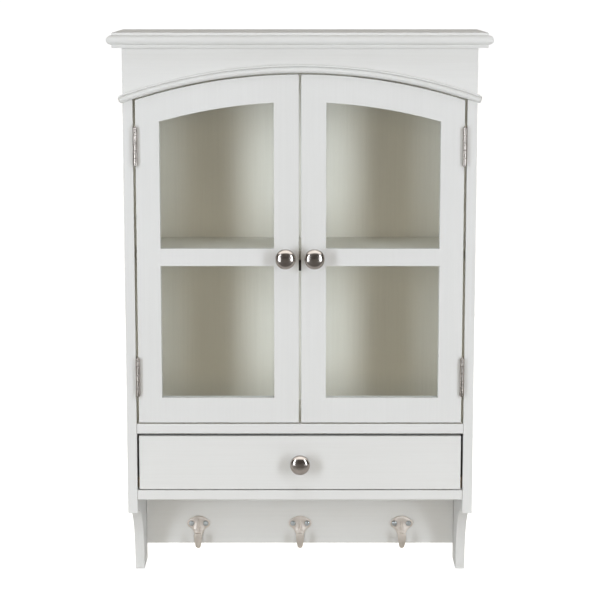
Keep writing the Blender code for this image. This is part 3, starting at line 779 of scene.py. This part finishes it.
HINGE_LENGTH = 0.050
KNUCKLES = 5
KNUCKLE_GAP = 0.0003
KNUCKLE_RADIUS = 0.003
KNUCKLE_SOFT = 0.00025
KNUCKLE_STEPS = 32
PIN_BORE = 0.0013
LEAF_FRONT = 0.0034
LEAF_THICK = 0.0009
TONGUE_CLEAR = 0.0003
TONGUE_LAP = 0.001
LEAF_OFFSETS = {"frame": 0.0019, "door": 0.0001}
HINGE_FIRST = {"frame": 0, "door": 1}
LEAF_SCREW = {"radius": 0.0024, "depth": 0.0002, "crown_radius": 0.0012, "crown": 0.00022, "rim": 0.00012}
LEAF_SCREW_HEIGHTS = (-0.0165, 0.0, 0.0165)
LEAF_SCREW_INSET = 0.0065
LEAF_SCREW_STAGGER = 0.0022
PIN_RADIUS = 0.0010
PIN_STEPS = 24
PIN_LAP = 0.0002
FINIAL_RADIUS = 0.0017
FINIAL_RIM = 0.0003
FINIAL_SHARE = 0.5  # of the room that the CAD's finial takes above the knuckles


def knuckle(low, high):
    """One bored knuckle with softly broken ends."""
    outer = KNUCKLE_RADIUS
    inner = outer - KNUCKLE_SOFT
    profile = [(PIN_BORE, low), (inner, low), (outer, low + KNUCKLE_SOFT)]
    profile += [(outer, high - KNUCKLE_SOFT), (inner, high), (PIN_BORE, high)]
    shape = bmesh.new()
    made = [[shape.verts.new(point) for point in circle(r, z, KNUCKLE_STEPS)] for r, z in profile]
    for first, second in zip(made, made[1:] + made[:1]):
        for i in range(KNUCKLE_STEPS):
            shape.faces.new((first[i - 1], first[i], second[i], second[i - 1]))
    return shape


def leaf_screws(name, face, back, outward, place):
    """Three countersunk screws in the face of a leaf, the outer two set further back, as one piece."""
    heads = bmesh.new()
    tilt = Matrix.Rotation(outward * math.pi / 2, 4, "Y")
    for z in LEAF_SCREW_HEIGHTS:
        head = flush_head(20, **LEAF_SCREW)
        depth = back - LEAF_SCREW_INSET + (LEAF_SCREW_STAGGER if z else 0.0)
        head.transform(place @ Matrix.Translation((face, depth, z)) @ tilt)
        spare = bpy.data.meshes.new("head")
        head.to_mesh(spare)
        head.free()
        heads.from_mesh(spare)
        bpy.data.meshes.remove(spare)
    return solid(name, heads, BRIGHT_STEEL)


def hinge_leaf(kind, stem, body, sign):
    """A leaf with its knuckles, and the countersunk screws that hold it."""
    node = f"{stem}_{kind}_leaf"
    axis = middle(f"{stem}_pin")
    place = Matrix.Translation(axis) @ Matrix.Rotation(math.pi if sign > 0 else 0, 4, "Y")
    half = HINGE_LENGTH / 2
    offset = LEAF_OFFSETS[kind]
    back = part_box(node)[1].y - axis.y
    plate = box((-offset - LEAF_THICK, LEAF_FRONT, -half), (-offset, back, half))
    made = solid(f"{node}_pressed", plate, HINGE_NICKEL)
    pitch = HINGE_LENGTH / KNUCKLES
    curled = []
    for number in range(HINGE_FIRST[kind], KNUCKLES, 2):
        bottom = number * pitch - half + KNUCKLE_GAP / 2
        top = bottom + pitch - KNUCKLE_GAP
        tongue = box((-offset - LEAF_THICK, PIN_BORE + TONGUE_CLEAR, bottom),
                     (-offset, LEAF_FRONT + TONGUE_LAP, top))
        curled.append(solid("tongue", tongue, HINGE_NICKEL))
        curled.append(solid("knuckle", knuckle(bottom, top), HINGE_NICKEL))
    joined(made, curled)
    made.data.transform(place)
    stands_for(made, body, "nickel", node)
    face, outward = (-offset, 1) if kind == "frame" else (-offset - LEAF_THICK, -1)
    stands_for(leaf_screws(f"{node}_screws", face, back, outward, place), body, "steel")


def hinge_pin(stem):
    node = f"{stem}_pin"
    low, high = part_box(node)
    neck = HINGE_LENGTH / 2 + KNUCKLE_GAP
    ball = ((high.z - low.z) / 2 - neck) * FINIAL_SHARE
    finial = [(PIN_RADIUS, neck - PIN_LAP), (FINIAL_RADIUS, neck)]
    for a in [math.radians(degrees) for degrees in range(0, 90, 15)]:
        finial.append((FINIAL_RADIUS * math.cos(a), neck + FINIAL_RIM + (ball - FINIAL_RIM) * math.sin(a)))
    finial.append((0, neck + ball))
    profile = [(radius, -height) for radius, height in reversed(finial)] + finial
    place = Matrix.Translation(middle(node))
    made = solid(f"{node}_turned", turned(profile, PIN_STEPS), HINGE_NICKEL, place)
    stands_for(made, "cabinet", "nickel", node)


def hinges():
    for side, sign in SIDES.items():
        for level in LEVELS:
            stem = f"{side}_{level}_hinge"
            hinge_leaf("frame", stem, "cabinet", sign)
            hinge_leaf("door", stem, f"{side}_door", sign)
            hinge_pin(stem)


# ---------------------------------------------------------------- catch, strikes, nails

POLE_PROUD = 0.0006
CATCH_EDGE = 0.0009
POLE_X = 0.0115
POLE_HALF_LENGTH = 0.0062
POLE_HALF_THICK = 0.0006
POLE_DEPTH = 0.004
POLE_HEIGHTS = (0.0040, 0.0092)
POLE_EDGE = 0.0002
CATCH_SCREW = {"radius": 0.0028, "head": 0.0012, "reach": 0.004, "shank": 0.0014}
STRIKE_SCREW = {"radius": 0.0026, "depth": 0.0003, "crown_radius": 0.0014, "crown": 0.0001}
STRIKE_SCREW_SUNK = 0.0003
HANGER_SCREW = {"radius": 0.0029, "depth": 0.0005, "crown_radius": 0.0014, "crown": 0.0001}
HANGER_SCREW_INSET = 0.0065
NAIL = {"radius": 0.0016, "depth": 0.0004, "crown_radius": 0.0011, "crown": 0.0002, "tip": 0.00024}
NAIL_INSET = 0.007
NAIL_ROWS = 6
NAIL_COLUMNS = 4


def magnetic_catch():
    """A double magnetic catch: a brown case with two magnets between steel poles, and its screw."""
    low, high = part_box("magnetic_catch")
    shape = box((low.x, low.y + POLE_PROUD, low.z), high)
    case = rounded(solid("catch_case", shape, CATCH_BROWN), CATCH_EDGE, SMOOTH_ROUND_STEPS)
    stands_for(case, "cabinet", "catch_plastic", "magnetic_catch")
    for side, sign in SIDES.items():
        x = sign * POLE_X
        for number, height in enumerate(POLE_HEIGHTS):
            z = low.z + height
            shape = box((x - POLE_HALF_LENGTH, low.y, z - POLE_HALF_THICK),
                        (x + POLE_HALF_LENGTH, low.y + POLE_DEPTH, z + POLE_HALF_THICK))
            pole = rounded(solid(f"catch_pole_{side}_{number}", shape, DULL_STEEL), POLE_EDGE)
            stands_for(pole, "cabinet", "steel")
    place = Matrix.Translation((0, (low.y + high.y) / 2, low.z)) @ Matrix.Rotation(math.pi, 4, "X")
    screw = cross_head("catch_screw", finish=BRIGHT_STEEL, place=place, **CATCH_SCREW)
    stands_for(screw, "cabinet", "steel")


def strike_plates():
    """The steel plate inside each door that the catch holds, with its screw."""
    for side in SIDES:
        node = f"{side}_door_strike_plate"
        dress(node, BRIGHT_STEEL, THIN_EDGE)
        at = middle(node)
        place = Matrix.Translation((at.x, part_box(node)[1].y - STRIKE_SCREW_SUNK, at.z)) @ BACKWARD
        head = solid(f"{side}_door_strike_screw", flush_head(20, **STRIKE_SCREW), DULL_STEEL, place)
        stands_for(head, f"{side}_door", "steel")


def hanger_screws():
    """Two flush screws in each keyhole plate, one on either side of the keyhole."""
    for side in SIDES:
        low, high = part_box(f"hanger_plate_{side}")
        for number, x in enumerate((low.x + HANGER_SCREW_INSET, high.x - HANGER_SCREW_INSET)):
            place = Matrix.Translation((x, high.y, (low.z + high.z) / 2)) @ BACKWARD
            shape = flush_head(24, **HANGER_SCREW)
            head = solid(f"hanger_screw_{side}_{number}", shape, BRIGHT_STEEL, place)
            stands_for(head, "cabinet", "steel")


def back_nails():
    """Small round nail heads that hold the back panel to the boards behind it."""
    low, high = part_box("back_panel")
    inset = NAIL_INSET
    spots = []
    for i in range(NAIL_ROWS + 1):
        z = low.z + inset + (high.z - low.z - 2 * inset) * i / NAIL_ROWS
        spots += [(low.x + inset, z), (high.x - inset, z)]
    for i in range(1, NAIL_COLUMNS):
        x = low.x + (high.x - low.x) * i / NAIL_COLUMNS
        spots += [(x, low.z + inset), (x, high.z - inset)]
    for number, (x, z) in enumerate(spots):
        place = Matrix.Translation((x, high.y, z)) @ BACKWARD
        nail = solid(f"back_nail_{number:02d}", flush_head(16, **NAIL), DULL_STEEL, place)
        stands_for(nail, "cabinet", "steel")


# ---------------------------------------------------------------- finishes on the CAD nodes

def finishes():
    for side in SIDES:
        dress(f"side_panel_{side}", PAINT_SIDE_BOUNCE_LIT_INSIDE, BOARD_EDGE)
        dress(f"{side}_door_frame", PAINT_UPRIGHT, DOOR_EDGE)
        dress(f"{side}_door_glazing_bead", PAINT_UPRIGHT, THIN_EDGE)
        dress(f"{side}_door_glass", GLASS)
        dress(f"hanger_plate_{side}", DULL_STEEL, THIN_EDGE)
        dress(f"drawer_guide_{side}", PINE_DEPTH, THIN_EDGE)
        dress(f"drawer_side_{side}", PINE_DEPTH, THIN_EDGE)
    for node in ("frieze_board", "bottom_board", "hook_rail", "drawer_front"):
        dress(node, PAINT_LEVEL, BOARD_EDGE)
    dress("cabinet_floor", PAINT_FLOOR_BOUNCE_LIT_INSIDE, BOARD_EDGE)
    for node in ("shelf", "hanging_rail"):
        dress(node, PAINT_INSIDE_BOUNCE_LIT, BOARD_EDGE)
    dress("back_panel", BACK_BOARD, THIN_EDGE)
    dress("drawer_back", PINE_LEVEL, THIN_EDGE)
    dress("drawer_bottom", THIN_BOARD, THIN_EDGE)


# ---------------------------------------------------------------- light, floor, camera

WHITE = (1.0, 1.0, 1.0)
KEY_COLOUR = (0.935, 0.995, 1.075)
FILL_COLOUR = (1.05, 0.90, 0.70)
REAR_COLOUR = (1.0, 0.985, 0.955)
ROOM_COLOUR = (0.30, 0.265, 0.24)
CEILING_COLOUR = (1.0, 0.99, 0.97)
SEEN_LEVEL = 1.05
FILL_LEVEL = 0.17
ROOM_LEVEL = 0.35
CEILING_LEVEL = 2.0
CEILING_EDGE = (0.50, 0.64)  # heights of view at which the mirrored room turns into its ceiling
FLOOR_PALE = (0.64, 0.63, 0.61), (0.68, 0.67, 0.65)
FLOOR_DARK = (0.12, 0.11, 0.10)
FLOOR_DARKENS = (-0.60, -0.38)  # how far in front of the cabinet, as y
FLOOR_GLOW = (0.08, 0.95)  # as a light, and as the camera sees it
FLOOR_REACH = 14.0
FLOOR_GAP = 0.0004

CAMERA_AIM = (0.0, -0.080, -0.3184)
CAMERA_RISE = 9.2
CAMERA_DISTANCE = 2.705
CAMERA_LENS = 119.2
CAMERA_SENSOR = 36.0
CAMERA_REACH = 60.0

# Name: azimuth and rise in degrees, distance, width, height, watts, colour, shown in mirrors
LIGHTS = {
    "key_left": (-39, 5, 1.7, 0.36, 1.20, 11.9, KEY_COLOUR, True),
    "key_right": (39, 5, 1.7, 0.36, 1.20, 11.3, KEY_COLOUR, True),
    "overhead": (0, 60, 2.4, 1.60, 1.00, 10.5, KEY_COLOUR, False),
    "front_fill": (0, 6, 3.2, 1.60, 1.20, 12.0, FILL_COLOUR, False),
    "side_left": (-112, 15, 2.0, 0.90, 1.20, 12.5, REAR_COLOUR, False),
    "side_right": (112, 15, 2.0, 0.90, 1.20, 12.5, REAR_COLOUR, False),
    "behind": (180, 20, 2.2, 1.40, 1.00, 11.0, REAR_COLOUR, False),
}


def looking_in(name, data, azimuth, rise, distance):
    """A light or camera on a sphere round the camera's aim, facing it. Azimuth 0 is the front."""
    a, e = math.radians(azimuth), math.radians(rise)
    out = Vector((math.sin(a) * math.cos(e), -math.cos(a) * math.cos(e), math.sin(e)))
    made = bpy.data.objects.new(name, data)
    made.location = Vector(CAMERA_AIM) + out * distance
    made.rotation_euler = out.to_track_quat("Z", "Y").to_euler()
    bpy.context.scene.collection.objects.link(made)
    return made


def area_light(name, azimuth, rise, distance, width, height, watts, colour, mirrored):
    data = bpy.data.lights.new(name, "AREA")
    data.shape = "RECTANGLE"
    data.size = width
    data.size_y = height
    data.energy = watts
    data.color = colour
    looking_in(name, data, azimuth, rise, distance).visible_glossy = mirrored


def sky():
    """White to the camera, a warm fill to the object, and in mirrors a dark room with a bright ceiling."""
    world = bpy.data.worlds.new("studio")
    bpy.context.scene.world = world
    world.use_nodes = True
    tree = world.node_tree
    tree.nodes.clear()

    def background(colour, strength):
        inputs = {"Color": (*colour, 1.0), "Strength": strength}
        return add_node(tree, "ShaderNodeBackground", inputs).outputs[0]

    def choice(share, first, second):
        return add_node(tree, "ShaderNodeMixShader", {0: share, 1: first, 2: second}).outputs[0]

    path = add_node(tree, "ShaderNodeLightPath").outputs
    towards = add_node(tree, "ShaderNodeTexCoord").outputs["Generated"]
    height = add_node(tree, "ShaderNodeSeparateXYZ", {0: towards}).outputs["Z"]
    edge = {"Value": height, "From Min": CEILING_EDGE[0], "From Max": CEILING_EDGE[1]}
    overhead = add_node(tree, "ShaderNodeMapRange", edge).outputs[0]
    seen = background(WHITE, SEEN_LEVEL)
    fill = background(FILL_COLOUR, FILL_LEVEL)
    room = background(ROOM_COLOUR, ROOM_LEVEL)
    mirrored = choice(overhead, room, background(CEILING_COLOUR, CEILING_LEVEL))
    unseen = choice(path["Is Glossy Ray"], fill, mirrored)
    add_node(tree, "ShaderNodeOutputWorld", {"Surface": choice(path["Is Camera Ray"], unseen, seen)})


def floor():
    """A plain pale floor at the height of the feet, white to the camera.

    In front of the cabinet it is dark to light and mirrors, as the floor under a hung cabinet is."""
    shape = bmesh.new()
    bmesh.ops.create_grid(shape, x_segments=1, y_segments=1, size=FLOOR_REACH)
    s = Shader("pale_floor")
    speckle = s.noise(60.0, detail=3.0)
    pale = s.mix(speckle, *FLOOR_PALE)
    near = s.spread(s.axes()["Y"], FLOOR_DARKENS, WHOLE_SPAN)
    s.set(Base_Color=s.mix(near, FLOOR_DARK, pale), Specular_IOR_Level=0.1)
    s.set(Roughness=s.spread(speckle, NOISE_SPAN, (0.75, 0.85)))
    seen = s.add("ShaderNodeLightPath").outputs["Is Camera Ray"]
    s.set(Emission_Color=(*WHITE, 1.0), Emission_Strength=s.spread(seen, WHOLE_SPAN, FLOOR_GLOW))
    made = solid("floor", shape, s.material, Matrix.Translation((0, 0, BOTTOM - FLOOR_GAP)))


def camera():
    data = bpy.data.cameras.new("camera")
    data.sensor_width = CAMERA_SENSOR
    data.lens = CAMERA_LENS
    data.clip_end = CAMERA_REACH
    bpy.context.scene.camera = looking_in("camera", data, 0, CAMERA_RISE, CAMERA_DISTANCE)


def studio():
    bpy.context.scene.view_settings.view_transform = "Standard"
    sky()
    floor()
    for name, settings in LIGHTS.items():
        area_light(name, *settings)
    camera()


studio()
finishes()
cornice()
arch_bead()
side_beads()
knobs()
hook_screws()
hooks()
hinges()
magnetic_catch()
strike_plates()
hanger_screws()
back_nails()
